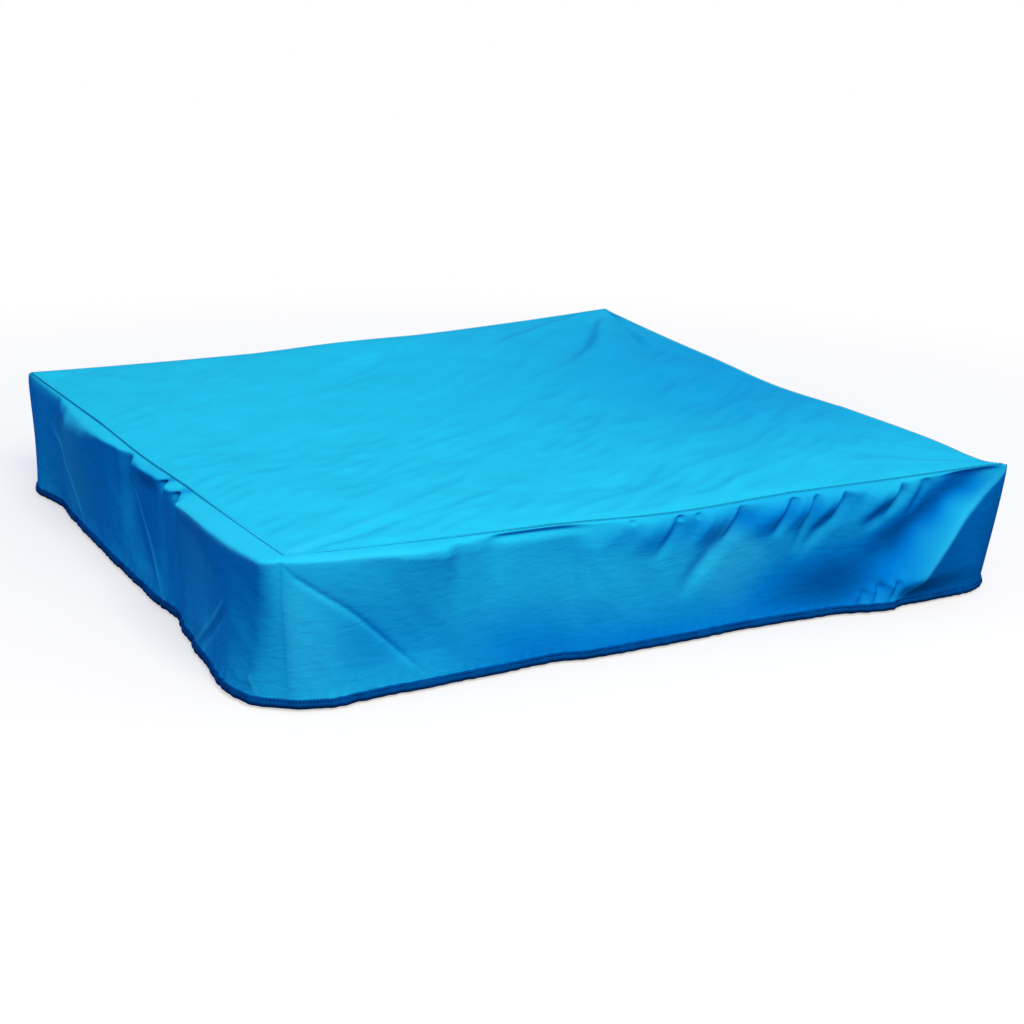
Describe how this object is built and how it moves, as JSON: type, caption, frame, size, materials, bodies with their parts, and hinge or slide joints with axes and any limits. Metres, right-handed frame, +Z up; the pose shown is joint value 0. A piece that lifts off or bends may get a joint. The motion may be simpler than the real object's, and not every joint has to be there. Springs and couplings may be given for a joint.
{
  "type": "sandbox with cover",
  "caption": "Low square wooden sandbox of tongued boards with triangular corner seats and sand, under a fitted waterproof cloth cover with a skirt and an elastic hem.",
  "frame": {"origin": "middle of the ground liner's underside, on the ground", "axes": "+Z up out of the box, +Y towards the back wall, +X along the front wall to the right"},
  "size_m": [1.288, 1.2744, 0.2254],
  "materials": {
    "cover_cloth": "coated polyester, slight sheen",
    "hem_cloth": "folded and stitched",
    "elastic": "braided",
    "pine": "planed, oiled",
    "sand": "loose grains",
    "liner": "woven",
    "screws": "zinc plated"
  },
  "bodies": {
    "sandbox": {"back_board_lower": "pine", "back_board_upper": "pine", "front_board_lower": "pine", "front_board_upper": "pine", "ground_liner": "liner", "left_board_lower": "pine", "left_board_upper": "pine", "post_far_left": "pine", "post_far_right": "pine", "post_near_left": "pine", "post_near_right": "pine", "right_board_lower": "pine", "right_board_upper": "pine", "sand_fill": "sand", "screw_far_left_back_lower": "screws", "screw_far_left_back_upper": "screws", "screw_far_left_left_lower": "screws", "screw_far_left_left_upper": "screws", "screw_far_right_back_lower": "screws", "screw_far_right_back_upper": "screws", "screw_far_right_right_lower": "screws", "screw_far_right_right_upper": "screws", "screw_near_left_front_lower": "screws", "screw_near_left_front_upper": "screws", "screw_near_left_left_lower": "screws", "screw_near_left_left_upper": "screws", "screw_near_right_front_lower": "screws", "screw_near_right_front_upper": "screws", "screw_near_right_right_lower": "screws", "screw_near_right_right_upper": "screws", "screw_seat_far_left_flank": "screws", "screw_seat_far_left_front": "screws", "screw_seat_far_right_flank": "screws", "screw_seat_far_right_front": "screws", "screw_seat_near_left_flank": "screws", "screw_seat_near_left_front": "screws", "screw_seat_near_right_flank": "screws", "screw_seat_near_right_front": "screws", "seat_far_left": "pine", "seat_far_right": "pine", "seat_near_left": "pine", "seat_near_right": "pine"},
    "cover": {"cover_hem_back": "hem_cloth", "cover_hem_front": "hem_cloth", "cover_hem_left": "hem_cloth", "cover_hem_right": "hem_cloth", "cover_skirt_back": "cover_cloth", "cover_skirt_front": "cover_cloth", "cover_skirt_left": "cover_cloth", "cover_skirt_right": "cover_cloth", "cover_top": "cover_cloth", "hem_elastic": "elastic"}
  },
  "joints": [
    {"name": "cover_lift", "type": "slide", "parent": "sandbox", "child": "cover", "axis": [0, 0, 1], "range_m": [0, 0.5]}
  ]
}
